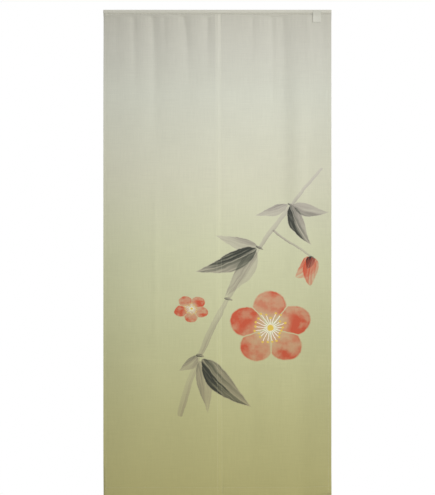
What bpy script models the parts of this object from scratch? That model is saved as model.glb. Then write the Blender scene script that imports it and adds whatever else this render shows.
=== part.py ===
"""A noren: two hemmed cloth panels that hang side by side from one rod casing, with a small blank label.

Metres, +Z up. The origin is in the middle of the rod casing's bore, halfway across the curtain. The
front faces -Y, and +X is to the right as seen from the front. Depths are measured down from the stitch
line under the casing.
"""
import math
from typing import NamedTuple

import bmesh
import bpy

MM = 0.001

# The whole curtain, as it hangs.
HUNG_WIDTH = 842 * MM
HUNG_LENGTH = 1800 * MM
CLOTH = 1.2 * MM  # the thickness of a layer of cloth
GAP = 0.3 * MM  # between pieces that are sewn together or lie on each other
FACET_ROOM = 0.2 * MM  # more room between two curved pieces, because their flat faces cut across the curve

# The rod casing: cloth turned round a rod, with its two layers stitched together just below it.
CASING_RADIUS = 7.2 * MM
CASING_RIPPLE = 0.25 * MM  # how unevenly the cloth follows the rod
STITCH_DROP = 9.0 * MM  # from the middle of the bore down to the stitch line
NECK = 2 * CLOTH
BORE_FOOT = 7.4 * MM  # how far below its middle the bore closes to a narrow end
BORE_FOOT_WIDTH = 0.6 * MM
CASING_SIDES = 18
CASING_STATIONS = 18

# The hems, turned to the back.
SIDE_HEM = 13 * MM
SLIT_HEM = 11 * MM
BOTTOM_HEM = 38 * MM
HEM_LAYER = 1.2 * MM  # what a hem adds to the thickness
HEM_STEP = 1.0 * MM  # the width over which its edge steps down

# The seam and, below it, the slit. The left panel's edge lies just over the right panel's.
SEAM_X = 3.4 * MM  # the seam starts a little to the right of the middle
SEAM_DRIFT = 6.0 * MM  # and is this much further to the right at the foot
LAP = 2.0 * MM
LAP_REACH = 28 * MM  # the edges bend apart over this width
JOINED_LENGTH = 400 * MM  # the panels are sewn together down to here
SLIT_AIR = 1.0 * MM  # between the overlapping edges, further down

# How the lower corners hang. An edge is rolled to the back at each of them.
ROLL = 7 * MM
ROLL_WIDTH = 7 * MM
LEFT_ROLL_LENGTH = 160 * MM  # up from the left corner
FOOT_ROLL_LENGTH = 70 * MM  # in from the right corner
CORNER_SIZE = 120 * MM  # the right corner turns up and forward
CORNER_RISE = 7 * MM
CORNER_CURL = 7 * MM

FOLD_OPENING = 13 * MM  # the folds open over this length below the stitch line
FOLD_SLANT = 110 * MM  # a slanting fold is nearly upright this far down
FOLD_SPREAD = 450 * MM  # a fold has doubled its width this far down
CREST = 0.25  # how round a fold's crest is, as a share of its width

PANEL_COLUMNS = 54
PANEL_ROWS = 24
ROW_SPREAD = 1.7  # above 1, the rows lie closer together near the top

# The label. Its upper end is sewn to the front of the casing, and the rest hangs close to the cloth.
LABEL_X = 367 * MM
LABEL_WIDTH = 30 * MM
LABEL_TOP = 3.0 * MM
LABEL_FOOT = -39.0 * MM
LABEL_FALL = 17 * MM  # over this length it comes back from the casing to the cloth
LABEL_THICKNESS = 1.0 * MM
LABEL_STAND = 0.7 * MM  # from the cloth to its back, besides the gap between pieces
LABEL_COLUMNS = 4
LABEL_ROWS = 16

# Colours are linear red, green and blue.
CLOTH_COLOUR = (0.52, 0.51, 0.37)
CASING_COLOUR = (0.50, 0.49, 0.42)
LABEL_COLOUR = (0.60, 0.59, 0.51)
CLOTH_ROUGHNESS = 0.85
LABEL_ROUGHNESS = 0.55

PANEL_TOP = -STITCH_DROP - GAP
PANEL_LENGTH = HUNG_LENGTH - CASING_RADIUS + PANEL_TOP


class Fold(NamedTuple):
    """A fold that runs down from the stitch line. A negative height makes it a valley. In mm."""

    top_x: float  # where it leaves the stitch line
    foot_x: float  # where it hangs further down
    left_width: float
    right_width: float
    height: float
    length: float  # it has died away this far down


class Wave(NamedTuple):
    """A long, shallow wave in the cloth. In mm."""

    x: float
    half_width: float
    height: float
    depth: float
    half_depth: float


FOLDS = (
    Fold(top_x=-450, foot_x=-450, left_width=20, right_width=60, height=-10.0, length=330),
    Fold(top_x=-373, foot_x=-371, left_width=30, right_width=17, height=-1.8, length=420),
    Fold(top_x=-312, foot_x=-304, left_width=13, right_width=16, height=-4.3, length=420),
    Fold(top_x=-242, foot_x=-230, left_width=18, right_width=25, height=-7.6, length=850),
    Fold(top_x=-197, foot_x=-193, left_width=9, right_width=8, height=-2.0, length=220),
    Fold(top_x=-126, foot_x=-104, left_width=20, right_width=15, height=-6.3, length=390),
    Fold(top_x=-37, foot_x=-34, left_width=15, right_width=12, height=-5.2, length=290),
    Fold(top_x=131, foot_x=129, left_width=14, right_width=9, height=-2.6, length=300),
    Fold(top_x=203, foot_x=206, left_width=18, right_width=9, height=-4.2, length=560),
    Fold(top_x=240, foot_x=247, left_width=34, right_width=22, height=-7.6, length=1700),
    Fold(top_x=334, foot_x=338, left_width=17, right_width=17, height=2.6, length=460),
    Fold(top_x=392, foot_x=390, left_width=16, right_width=16, height=-1.8, length=520),
)

WAVES = (
    Wave(x=-330, half_width=70, height=4.0, depth=1250, half_depth=420),
    Wave(x=-130, half_width=80, height=-3.5, depth=1050, half_depth=380),
    Wave(x=-60, half_width=50, height=3.0, depth=1600, half_depth=300),
    Wave(x=110, half_width=70, height=-3.0, depth=900, half_depth=320),
    Wave(x=190, half_width=75, height=4.0, depth=1450, half_depth=400),
    Wave(x=298, half_width=25, height=8.0, depth=600, half_depth=270),
    Wave(x=312, half_width=28, height=-5.0, depth=1420, half_depth=380),
    Wave(x=130, half_width=24, height=-3.5, depth=1500, half_depth=170),
)


def ease(t):
    """0 below 0, 1 above 1, and a smooth step between."""
    t = min(max(t, 0.0), 1.0)
    return t * t * (3 - 2 * t)


def bell(t):
    """A smooth hump that is 1 at 0 and nearly 0 beyond 2.5 on either side."""
    return math.exp(-0.5 * t * t)


def crest(t):
    """A hump across a fold that is 1 at 0: narrow at its top, and running out softly on both sides."""
    return math.exp(CREST - math.sqrt(t * t + CREST * CREST))


def relief(x, depth):
    """How far the folds and waves bring the cloth forward."""
    opening = ease(depth / FOLD_OPENING)
    slant = math.exp(-depth / FOLD_SLANT)
    height = 0.0
    for fold in FOLDS:
        across = x - (fold.foot_x + (fold.top_x - fold.foot_x) * slant) * MM
        width = (fold.left_width if across < 0 else fold.right_width) * (1 + depth / FOLD_SPREAD)
        fading = 1 - ease(depth / (fold.length * MM))
        height += fold.height * MM * opening * fading * crest(across / (width * MM))
    for wave in WAVES:
        across = bell((x - wave.x * MM) / (wave.half_width * MM))
        down = bell((depth - wave.depth * MM) / (wave.half_depth * MM))
        height += wave.height * MM * across * down
    return height


def corner_lift(x, depth):
    """0 away from the lower right corner and 1 at its tip."""
    across = ease((x - HUNG_WIDTH / 2 + CORNER_SIZE) / CORNER_SIZE)
    down = ease((depth - PANEL_LENGTH + CORNER_SIZE) / CORNER_SIZE)
    return across * down


def rolled(distance):
    """A roll at a distance from its edge: 1 at the edge, and 0 beyond the roll's width."""
    return 2 * ease((1 - distance / ROLL_WIDTH) / 2)


def edge_roll(x, depth):
    """How far the two rolled edges bring the cloth to the back."""
    left = rolled(x + HUNG_WIDTH / 2) * ease((depth - PANEL_LENGTH + LEFT_ROLL_LENGTH) / LEFT_ROLL_LENGTH)
    foot = rolled(PANEL_LENGTH - depth) * ease((x - HUNG_WIDTH / 2 + FOOT_ROLL_LENGTH) / FOOT_ROLL_LENGTH)
    return ROLL * (left + foot)


def seam_x(depth):
    """The line of the seam and the slit."""
    return SEAM_X + SEAM_DRIFT * depth / PANEL_LENGTH


def lap_stand(x, depth):
    """How far a panel's slit edge bends forward or back, to lie clear of the other panel's."""
    near = ease(1 - abs(x - seam_x(depth)) / LAP_REACH)
    apart = GAP + (SLIT_AIR - GAP) * ease((depth - JOINED_LENGTH) / JOINED_LENGTH)
    return near * (CLOTH + HEM_LAYER + FACET_ROOM + apart) / 2


def cloth_front(x, depth, side):
    """A point of the cloth's front. The side is -1 for the left panel and 1 for the right one."""
    lift = corner_lift(x, depth)
    curl = edge_roll(x, depth) - CORNER_CURL * lift
    y = -CLOTH / 2 - relief(x, depth) + curl + side * lap_stand(x, depth)
    return x, y, PANEL_TOP - depth + CORNER_RISE * lift


def left_edge(depth):
    return -HUNG_WIDTH / 2


def right_edge(depth):
    return HUNG_WIDTH / 2


def left_slit_edge(depth):
    return seam_x(depth) + LAP / 2


def right_slit_edge(depth):
    return seam_x(depth) - LAP / 2


def stops(length, first_hem, last_hem, steps, spread=1.0):
    """Distances along a panel, with one in each hem and one on each side of the step at its edge."""
    start = first_hem + HEM_STEP if first_hem else 0.0
    end = length - last_hem - HEM_STEP
    between = [start + (end - start) * (k / steps) ** spread for k in range(steps + 1)]
    before = [0.0, ROLL_WIDTH, first_hem] if first_hem else []
    return before + between + [length - last_hem, length - ROLL_WIDTH, length]


def sheet(name, front, thickness, columns, rows):
    """A closed sheet: a grid of front points, the same grid moved back, and a rim that joins them."""
    shape = bmesh.new()
    for back in (0, 1):
        grid = []
        for j in range(rows):
            line = []
            for i in range(columns):
                x, y, z = front(i, j)
                line.append(shape.verts.new((x, y + back * thickness(i, j), z)))
            grid.append(line)
        for upper, lower in zip(grid, grid[1:]):
            for i in range(columns - 1):
                shape.faces.new((upper[i], upper[i + 1], lower[i + 1], lower[i]))
    rim = [edge for edge in shape.edges if edge.is_boundary]
    bmesh.ops.bridge_loops(shape, edges=rim)
    return finished_mesh(name, shape)


def finished_mesh(name, shape):
    bmesh.ops.recalc_face_normals(shape, faces=shape.faces)
    mesh = bpy.data.meshes.new(name)
    shape.to_mesh(mesh)
    shape.free()
    mesh.shade_smooth()
    mesh.set_sharp_from_angle(angle=math.radians(40))
    return mesh


def panel(name, side, left, right, left_hem, right_hem):
    """A cloth panel between two edges, which are functions of the depth. Its hems are at the back."""
    width = right(0.0) - left(0.0)
    across = stops(width, left_hem, right_hem, PANEL_COLUMNS)
    down = stops(PANEL_LENGTH, 0.0, BOTTOM_HEM, PANEL_ROWS, ROW_SPREAD)

    def front(i, j):
        hung = right(down[j]) - left(down[j])
        return cloth_front(left(down[j]) + hung * across[i] / width, down[j], side)

    def thickness(i, j):
        past_left = across[i] > left_hem + HEM_STEP / 2
        before_right = across[i] < width - right_hem - HEM_STEP / 2
        above_foot = down[j] < PANEL_LENGTH - BOTTOM_HEM - HEM_STEP / 2
        return CLOTH if past_left and before_right and above_foot else CLOTH + HEM_LAYER

    return sheet(name, front, thickness, len(across), len(down))


def drop_outline(radius, foot, foot_width):
    """A drop-shaped outline in y and z: an arc that runs straight down on both sides to a narrow foot."""
    reach = math.hypot(foot_width / 2, foot)
    start = math.atan2(-foot, foot_width / 2) + math.acos(radius / reach)
    turn = math.pi - 2 * start
    outline = [(foot_width / 2, -foot)]
    for k in range(CASING_SIDES + 1):
        angle = start + turn * k / CASING_SIDES
        outline.append((radius * math.cos(angle), radius * math.sin(angle)))
    outline.append((-foot_width / 2, -foot))
    return outline


def casing_radius(x):
    """The casing's outer radius, a little uneven along the rod."""
    return CASING_RADIUS + CASING_RIPPLE * math.sin(61 * x) * math.cos(23 * x + 1)


def casing(name):
    """The rod casing: a drop-shaped tube, open at both ends, whose neck is the stitch line."""
    shape = bmesh.new()
    stations = []
    for k in range(CASING_STATIONS + 1):
        x = HUNG_WIDTH * (k / CASING_STATIONS - 0.5)
        outer = drop_outline(casing_radius(x), STITCH_DROP, NECK)
        inner = drop_outline(casing_radius(x) - CLOTH, BORE_FOOT, BORE_FOOT_WIDTH)
        rings = [[shape.verts.new((x, y, z)) for y, z in outline] for outline in (outer, inner)]
        stations.append(rings)
    for before, after in zip(stations, stations[1:]):
        for ring, following in zip(before, after):
            join_rings(shape, ring, following)
    for outer, inner in (stations[0], stations[-1]):
        join_rings(shape, outer, inner)
    return finished_mesh(name, shape)


def join_rings(shape, ring, other):
    """Faces between two closed rings that have the same number of points."""
    for k in range(len(ring)):
        shape.faces.new((ring[k - 1], ring[k], other[k], other[k - 1]))


def label(name):
    """A small label that lies on the casing's front and then hangs down in front of the stitch line."""
    round_out = CASING_RADIUS + CASING_RIPPLE

    def front(i, j):
        x = LABEL_X + LABEL_WIDTH * (i / LABEL_COLUMNS - 0.5)
        z = LABEL_TOP + (LABEL_FOOT - LABEL_TOP) * j / LABEL_ROWS
        on_casing = -math.sqrt(round_out ** 2 - max(z, 0.0) ** 2)
        near_cloth = cloth_front(x, max(PANEL_TOP - z, 0.0), 1)[1] - LABEL_STAND
        behind = on_casing + (near_cloth - on_casing) * ease(-z / LABEL_FALL)
        return x, behind - GAP - FACET_ROOM - LABEL_THICKNESS, z

    return sheet(name, front, lambda i, j: LABEL_THICKNESS, LABEL_COLUMNS + 1, LABEL_ROWS + 1)


def finish(name, colour, roughness):
    made = bpy.data.materials.new(name)
    made.use_nodes = True
    shader = made.node_tree.nodes["Principled BSDF"]
    shader.inputs["Base Color"].default_value = (*colour, 1.0)
    shader.inputs["Roughness"].default_value = roughness
    shader.inputs["Metallic"].default_value = 0.0
    return made


def place(mesh, colour, roughness):
    piece = bpy.data.objects.new(mesh.name, mesh)
    mesh.materials.append(finish(mesh.name + "_cloth", colour, roughness))
    bpy.context.scene.collection.objects.link(piece)


def build():
    for thing in list(bpy.data.objects):
        bpy.data.objects.remove(thing)
    left = panel("panel_left", -1, left_edge, left_slit_edge, SIDE_HEM, SLIT_HEM)
    right = panel("panel_right", 1, right_slit_edge, right_edge, SLIT_HEM, SIDE_HEM)
    place(left, CLOTH_COLOUR, CLOTH_ROUGHNESS)
    place(right, CLOTH_COLOUR, CLOTH_ROUGHNESS)
    place(casing("rod_casing"), CASING_COLOUR, CLOTH_ROUGHNESS)
    place(label("care_label"), LABEL_COLOUR, LABEL_ROUGHNESS)


build()
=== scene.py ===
# %% [markdown]
# # A noren, dressed for its picture
#
# A noren is a curtain for a doorway. This one is a long pair of thin polyester panels that hang from
# one casing, with a printed design. The plain solids come first, as a fixed frame. Every piece below is
# a finer mesh that takes the place of one of them, so it has to keep to their places and sizes.
# Everything is in metres: +X is to the right, -Y is towards the viewer and +Z is up.

# %% Load the frame
import math
from typing import NamedTuple

import bpy
import numpy as np
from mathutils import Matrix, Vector


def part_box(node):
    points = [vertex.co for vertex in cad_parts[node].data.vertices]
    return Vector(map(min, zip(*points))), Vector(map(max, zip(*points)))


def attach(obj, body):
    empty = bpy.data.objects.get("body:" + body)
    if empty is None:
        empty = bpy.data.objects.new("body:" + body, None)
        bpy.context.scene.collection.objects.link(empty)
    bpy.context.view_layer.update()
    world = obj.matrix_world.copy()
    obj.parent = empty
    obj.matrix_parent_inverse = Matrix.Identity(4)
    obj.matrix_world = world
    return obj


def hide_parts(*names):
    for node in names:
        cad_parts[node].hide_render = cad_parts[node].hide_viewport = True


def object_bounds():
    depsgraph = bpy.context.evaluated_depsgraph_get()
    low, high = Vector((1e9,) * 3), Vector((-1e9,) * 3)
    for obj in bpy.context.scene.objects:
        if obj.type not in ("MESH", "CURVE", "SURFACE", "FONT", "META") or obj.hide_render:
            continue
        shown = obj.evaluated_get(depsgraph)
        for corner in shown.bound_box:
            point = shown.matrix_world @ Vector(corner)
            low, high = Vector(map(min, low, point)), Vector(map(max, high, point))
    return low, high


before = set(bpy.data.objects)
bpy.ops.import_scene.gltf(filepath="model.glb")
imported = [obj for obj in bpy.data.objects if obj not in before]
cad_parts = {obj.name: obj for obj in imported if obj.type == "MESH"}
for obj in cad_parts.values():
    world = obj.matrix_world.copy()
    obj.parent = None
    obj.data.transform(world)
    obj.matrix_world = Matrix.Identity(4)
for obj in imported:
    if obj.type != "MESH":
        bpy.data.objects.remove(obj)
cad_box = [list(corner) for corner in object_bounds()]
print("nodes:", sorted(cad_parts))

# %% [markdown]
# ## Three small helpers
#
# Colours are written the way a dyer's card or a screen gives them, as sRGB hex values, but Blender's
# shaders work in linear light, so one function turns them. Another adds a node to a material, with its
# links and its settings in one call, which keeps the long node trees below readable. In Blender every
# kind of shader node has a name that begins with ShaderNode, so that is left out of the calls. The last
# helper starts a material and sets its shader's own sockets, because all materials here begin that way.

# %% Colour and node helpers
MM = 0.001


def linear(hex_colour):
    """An sRGB hex colour as linear red, green, blue and alpha."""
    parts = [int(hex_colour[i:i + 2], 16) / 255 for i in (1, 3, 5)]
    return tuple(c / 12.92 if c <= 0.04045 else ((c + 0.055) / 1.055) ** 2.4 for c in parts) + (1.0,)


def add(tree, kind, inputs=(), **settings):
    """Add a node, set it, fill or link its inputs in order or by name, and return its first live output."""
    node = tree.nodes.new("ShaderNode" + kind)
    for name, value in settings.items():
        setattr(node, name, value)
    live = [socket for socket in node.inputs if socket.enabled]
    for key, value in inputs.items() if isinstance(inputs, dict) else enumerate(inputs):
        socket = live[key] if isinstance(key, int) else next(s for s in live if s.name == key)
        if isinstance(value, bpy.types.NodeSocket):
            tree.links.new(value, socket)
        else:
            socket.default_value = value
    return next((socket for socket in node.outputs if socket.enabled), None)


def new_material(name, settings):
    """A material with some of its shader's sockets set, its node tree, and those sockets."""
    material = bpy.data.materials.new(name)
    material.use_nodes = True
    shader = material.node_tree.nodes["Principled BSDF"].inputs
    for socket, value in settings.items():
        shader[socket].default_value = value
    return material, material.node_tree, shader


print("pale grey cloth in linear light:", [round(c, 3) for c in linear("#C6C6BA")[:3]])

# %% [markdown]
# ## The camera
#
# The picture was taken square on, from so far away that the curtain's sides look parallel. A long lens
# from five metres does the same. Its focal length follows from what the picture has to hold: the hung
# width of the curtain covers a known number of the picture's 435 columns.

# %% Camera
PICTURE_WIDTH, PICTURE_HEIGHT = 435, 495  # pixels
CLOTH_LEFT, CLOTH_RIGHT, CLOTH_TOP = 103.4, 331.4, 9.7  # the curtain's edges in the picture, in pixels
CAMERA_DISTANCE = 5.0  # m
CAMERA_RANGE = 100.0  # m
SENSOR = 36.0  # mm, along the picture's longer side

casing_low, casing_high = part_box("rod_casing")
hung_width = casing_high[0] - casing_low[0]
pixel = hung_width / (CLOTH_RIGHT - CLOTH_LEFT)
camera_x = (casing_low[0] + casing_high[0]) / 2 + (PICTURE_WIDTH - CLOTH_LEFT - CLOTH_RIGHT) / 2 * pixel
camera_z = casing_high[2] - (PICTURE_HEIGHT / 2 - CLOTH_TOP) * pixel

lens = bpy.data.cameras.new("camera")
lens.sensor_width = SENSOR
lens.lens = SENSOR * CAMERA_DISTANCE / (PICTURE_HEIGHT * pixel)
lens.clip_end = CAMERA_RANGE
camera = bpy.data.objects.new("camera", lens)
camera.location = (camera_x, -CAMERA_DISTANCE, camera_z)
camera.rotation_euler = (math.radians(90), 0, 0)
bpy.context.scene.collection.objects.link(camera)
bpy.context.scene.camera = camera
print(f"one pixel is {pixel / MM:.2f} mm, and the lens is {lens.lens:.0f} mm")

# %% [markdown]
# ## The studio
#
# A curtain is seen from all sides, so nothing stands behind it. The world itself is the soft studio
# light: white behind the curtain and dimmer in front, with a smooth change between the two. A large soft
# lamp high on the right brings out the folds. A second one stands close in front, a little right of the
# middle, so the light falls off towards the left edge, the top and the foot.

# %% World and lamps
WORLD_BEHIND = 1.0  # this much light shows as white
WORLD_IN_FRONT = 0.40
WORLD_CHANGE = 0.5  # straight to the front is -1 and straight to the back is 1: it changes from -0.5 to 0.5


class Lamp(NamedTuple):
    """A soft rectangular lamp. Places and sizes in m, power in W."""

    place: tuple
    aim: tuple
    width: float
    height: float
    power: float


KEY_LAMP = Lamp(place=(3.5, -3.4, 1.3), aim=(0.0, 0.0, -0.8), width=2.4, height=2.4, power=140.0)
FRONT_LAMP = Lamp(place=(0.08, -0.72, -0.85), aim=(0.08, 0.0, -0.85), width=0.3, height=1.4, power=3.1)

scene = bpy.context.scene
scene.view_settings.view_transform = "Standard"
world = bpy.data.worlds.new("studio")
scene.world = world
world.use_nodes = True
sky = world.node_tree
direction = add(sky, "TexCoord").node.outputs["Generated"]
depth_way = add(sky, "SeparateXYZ", [direction]).node.outputs["Y"]
strength = add(sky, "MapRange", {"Value": depth_way, "From Min": -WORLD_CHANGE, "From Max": WORLD_CHANGE,
                                 "To Min": WORLD_IN_FRONT, "To Max": WORLD_BEHIND},
               interpolation_type="SMOOTHSTEP")
sky.links.new(strength, sky.nodes["Background"].inputs["Strength"])
sky.nodes["Background"].inputs["Color"].default_value = (1, 1, 1, 1)


def soft_lamp(name, lamp):
    """Set up a lamp that faces a point. It lights the scene but doesn't show in it."""
    light = bpy.data.lights.new(name, "AREA")
    light.shape = "RECTANGLE"
    light.size, light.size_y = lamp.width, lamp.height
    light.energy = lamp.power
    stand = bpy.data.objects.new(name, light)
    stand.location = lamp.place
    stand.rotation_euler = (Vector(lamp.aim) - Vector(lamp.place)).to_track_quat("-Z", "Y").to_euler()
    stand.visible_camera = False
    scene.collection.objects.link(stand)


soft_lamp("key_lamp", KEY_LAMP)
soft_lamp("front_lamp", FRONT_LAMP)
print("lamps of", KEY_LAMP.power, "and", FRONT_LAMP.power, "W")

# %% [markdown]
# ## The floor
#
# A pale round floor lies 20 cm below the hem, where the picture doesn't reach. Other views show it, and
# it throws a little light up the cloth. Matt paint does that without a mirror image.

# %% Floor
FLOOR_DROP = 0.2  # m, from the hem to the floor
FLOOR_RADIUS = 1.05  # m
FLOOR_SIDES = 96

floor_points = [(FLOOR_RADIUS * math.cos(a), FLOOR_RADIUS * math.sin(a), cad_box[0][2] - FLOOR_DROP)
                for a in np.linspace(0, 2 * math.pi, FLOOR_SIDES, endpoint=False)]
floor_mesh = bpy.data.meshes.new("floor")
floor_mesh.from_pydata(floor_points, [], [list(range(FLOOR_SIDES))])
floor = bpy.data.objects.new("floor", floor_mesh)
scene.collection.objects.link(floor)
floor_look = {"Base Color": linear("#ECEBE7"), "Roughness": 0.8}
floor_mesh.materials.append(new_material("matt_floor_paint", floor_look)[0])
print("floor at", round(floor_points[0][2], 3), "m")

# %% [markdown]
# ## How the cloth hangs
#
# Cloth that is gathered a little on a rod falls in folds. Between smooth, broad parts it turns inward, in
# valleys that start at the stitch line under the casing, grow wider and die away further down. A valley
# has a crisp line at its deepest, where the cloth is bent most, and its flanks run out softly. It could
# be simulated, but then every fold would fall where the solver put it. Here each one is placed where the
# real one is, as one row of a table: where it starts, where it ends up, how wide its left and right
# flanks are, how high it is (a valley's height is negative) and how long. A second table holds the wide
# waves of the cloth, and a third the faint creases from its time folded in a packet.

# %% Fold tables


class Fold(NamedTuple):
    """A fold that runs down from the stitch line. A negative height makes it a valley. In mm."""

    top_x: float  # where it leaves the stitch line
    foot_x: float  # where it hangs further down
    left_width: float
    right_width: float
    height: float
    length: float  # it has died away this far down


class Wave(NamedTuple):
    """A shallow swelling of the cloth, or a crease if it is narrow. In mm."""

    x: float
    half_width: float
    height: float
    depth: float
    half_depth: float


FOLDS = (
    Fold(top_x=-450, foot_x=-450, left_width=20, right_width=60, height=-10.0, length=330),
    Fold(top_x=-373, foot_x=-371, left_width=30, right_width=17, height=-1.8, length=420),
    Fold(top_x=-312, foot_x=-304, left_width=13, right_width=16, height=-4.3, length=420),
    Fold(top_x=-242, foot_x=-230, left_width=18, right_width=25, height=-7.6, length=850),
    Fold(top_x=-197, foot_x=-193, left_width=9, right_width=8, height=-2.0, length=220),
    Fold(top_x=-126, foot_x=-104, left_width=20, right_width=15, height=-6.3, length=390),
    Fold(top_x=-37, foot_x=-34, left_width=15, right_width=12, height=-5.2, length=290),
    Fold(top_x=131, foot_x=129, left_width=14, right_width=9, height=-2.6, length=300),
    Fold(top_x=203, foot_x=206, left_width=18, right_width=9, height=-4.2, length=560),
    Fold(top_x=240, foot_x=247, left_width=34, right_width=22, height=-7.6, length=1700),
    Fold(top_x=334, foot_x=338, left_width=17, right_width=17, height=2.6, length=460),
    Fold(top_x=392, foot_x=390, left_width=16, right_width=16, height=-1.8, length=520),
)
WAVES = (
    Wave(x=-330, half_width=70, height=4.0, depth=1250, half_depth=420),
    Wave(x=-130, half_width=80, height=-3.5, depth=1050, half_depth=380),
    Wave(x=-60, half_width=50, height=3.0, depth=1600, half_depth=300),
    Wave(x=110, half_width=70, height=-3.0, depth=900, half_depth=320),
    Wave(x=190, half_width=75, height=4.0, depth=1450, half_depth=400),
    Wave(x=298, half_width=25, height=8.0, depth=600, half_depth=270),
    Wave(x=312, half_width=28, height=-5.0, depth=1420, half_depth=380),
    Wave(x=130, half_width=24, height=-3.5, depth=1500, half_depth=170),
)
CREASES = (
    Wave(x=-230, half_width=9, height=1.1, depth=900, half_depth=300),
    Wave(x=236, half_width=8, height=0.8, depth=1350, half_depth=260),
    Wave(x=-180, half_width=150, height=0.9, depth=440, half_depth=8),
    Wave(x=150, half_width=120, height=0.7, depth=445, half_depth=8),
    Wave(x=-200, half_width=170, height=1.0, depth=1290, half_depth=9),
    Wave(x=260, half_width=130, height=0.8, depth=1300, half_depth=9),
)
print(len(FOLDS), "folds,", len(WAVES), "waves and", len(CREASES), "creases")

# %% [markdown]
# ## The hanging surface
#
# The tables become one function that says where the front of the cloth is for any x and any depth below
# the stitch line. Because it works on whole arrays at once, a mesh of thirty thousand points takes a
# moment. The solids of the frame use the same folds, so the fine cloth lies in the same place.

# %% The relief of the cloth
FOLD_OPENING = 13 * MM  # a fold has its full height this far down
FOLD_SLANT = 110 * MM  # over this length it moves from where it starts to where it hangs
FOLD_SPREAD = 450 * MM  # it has doubled its width this far down
CREST = 0.25  # how round its crest is, as a share of its width


def ease(t):
    """0 below 0, 1 above 1, and a smooth step between."""
    t = np.clip(t, 0.0, 1.0)
    return t * t * (3 - 2 * t)


def bell(t):
    """A smooth hump that is 1 at 0 and nearly 0 beyond 2.5 on either side."""
    return np.exp(-0.5 * t * t)


def crest(t):
    """A hump across a fold that is 1 at 0: narrow at its top, and running out softly on both sides."""
    return np.exp(CREST - np.sqrt(t * t + CREST * CREST))


def swelling(waves, x, depth):
    """How far the waves of a table bring the cloth forward."""
    across, down = x / MM, depth / MM
    return sum(w.height * MM * bell((across - w.x) / w.half_width) * bell((down - w.depth) / w.half_depth)
               for w in waves)


def relief(x, depth):
    """How far the folds, waves and creases bring the cloth forward."""
    opening = ease(depth / FOLD_OPENING)
    slant = np.exp(-depth / FOLD_SLANT)
    height = swelling(WAVES, x, depth) + swelling(CREASES, x, depth)
    for fold in FOLDS:
        across = x / MM - (fold.foot_x + (fold.top_x - fold.foot_x) * slant)
        width = np.where(across < 0, fold.left_width, fold.right_width) * (1 + depth / FOLD_SPREAD)
        fading = 1 - ease(depth / (fold.length * MM))
        height = height + fold.height * MM * opening * fading * crest(across / width)
    return height


trial = relief(np.linspace(casing_low[0], casing_high[0], PICTURE_WIDTH), FOLD_SLANT)
print(f"{FOLD_SLANT / MM:.0f} mm down, the folds and waves are {np.ptp(trial) / MM:.1f} mm deep in all")

# %% [markdown]
# ## Seam, slit and corners
#
# The panels' slit edges lap over each other, the left one in front. Each has a hem of three layers there,
# so they have to bend apart, or one would cut through the other. The seam also leans a little to the
# right. At the left the lowest part of the edge is rolled to the back, and so is the foot's right end,
# where the corner has lifted. Each of these is one more smooth step, added to the folds.

# %% The surface of the cloth
CLOTH = 1.2 * MM  # the thickness of the frame's solids
LAYER = 0.25 * MM  # the thickness of the real cloth
HEM_LAYERS = 3
GAP = 0.3 * MM  # from the casing to the panels' top edges
STITCH_DROP = 9.0 * MM  # from the rod's middle to the stitch line
SEAM_X = 3.4 * MM
SEAM_DRIFT = 6.0 * MM  # from the top to the foot
LAP = 2.0 * MM
LAP_REACH = 28 * MM  # the panels bend apart over this width
JOINED_LENGTH = 400 * MM
SEAM_AIR = 0.05 * MM  # between the two hems, where they are sewn together
SLIT_AIR = 0.2 * MM
ROLL = 7 * MM  # an edge is rolled this far to the back at each lower corner
ROLL_WIDTH = 7 * MM
LEFT_ROLL_LENGTH = 160 * MM  # up from the left corner
FOOT_ROLL_LENGTH = 70 * MM  # in from the right corner
CORNER_SIZE = 120 * MM
CORNER_RISE = 7 * MM
CORNER_CURL = 7 * MM

cloth_low = np.minimum(*[np.array(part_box(name)[0]) for name in ("panel_left", "panel_right")])
cloth_high = np.maximum(*[np.array(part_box(name)[1]) for name in ("panel_left", "panel_right")])
panel_top = -STITCH_DROP - GAP
panel_length = panel_top - cloth_low[2]


def seam_x(depth):
    """The x of the seam's middle, and of the slit's further down."""
    return SEAM_X + SEAM_DRIFT * depth / panel_length


def lap_stand(x, depth):
    """How far a panel's slit edge bends forward or back, to lie clear of the other panel's."""
    near = ease(1 - np.abs(x - seam_x(depth)) / LAP_REACH)
    apart = SEAM_AIR + (SLIT_AIR - SEAM_AIR) * ease((depth - JOINED_LENGTH) / JOINED_LENGTH)
    return near * (LAYER * HEM_LAYERS + apart) / 2


def rolled(distance):
    """A roll at a distance from its edge: 1 at the edge, and 0 beyond the roll's width."""
    return 2 * ease((1 - distance / ROLL_WIDTH) / 2)


def edge_roll(x, depth):
    """How far the two rolled edges bring the cloth to the back."""
    left = rolled(x - cloth_low[0]) * ease((depth - panel_length + LEFT_ROLL_LENGTH) / LEFT_ROLL_LENGTH)
    foot = rolled(panel_length - depth) * ease((x - cloth_high[0] + FOOT_ROLL_LENGTH) / FOOT_ROLL_LENGTH)
    return ROLL * (left + foot)


def cloth_front(x, depth, side):
    """The y and z of the cloth's front. The side is -1 for the left panel and 1 for the right one."""
    lift = ease((x - cloth_high[0] + CORNER_SIZE) / CORNER_SIZE)
    lift = lift * ease((depth - panel_length + CORNER_SIZE) / CORNER_SIZE)
    curl = edge_roll(x, depth) - CORNER_CURL * lift
    y = -CLOTH / 2 - relief(x, depth) + curl + side * lap_stand(x, depth)
    return y, panel_top - depth + CORNER_RISE * lift


print("panel length:", round(panel_length, 4), "m")

# %% [markdown]
# ## A closed sheet from a grid
#
# A real cloth has two faces and an edge. Each panel is a grid of middle points and a half thickness at
# each one. The same grid is laid twice, half a thickness forward and half a thickness back, and a rim
# joins the two, so the mesh is closed. The thickness goes to nearly nothing over the last fraction of a
# millimetre, which rounds the edge as a turned hem is round.

# %% Sheet builder


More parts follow.
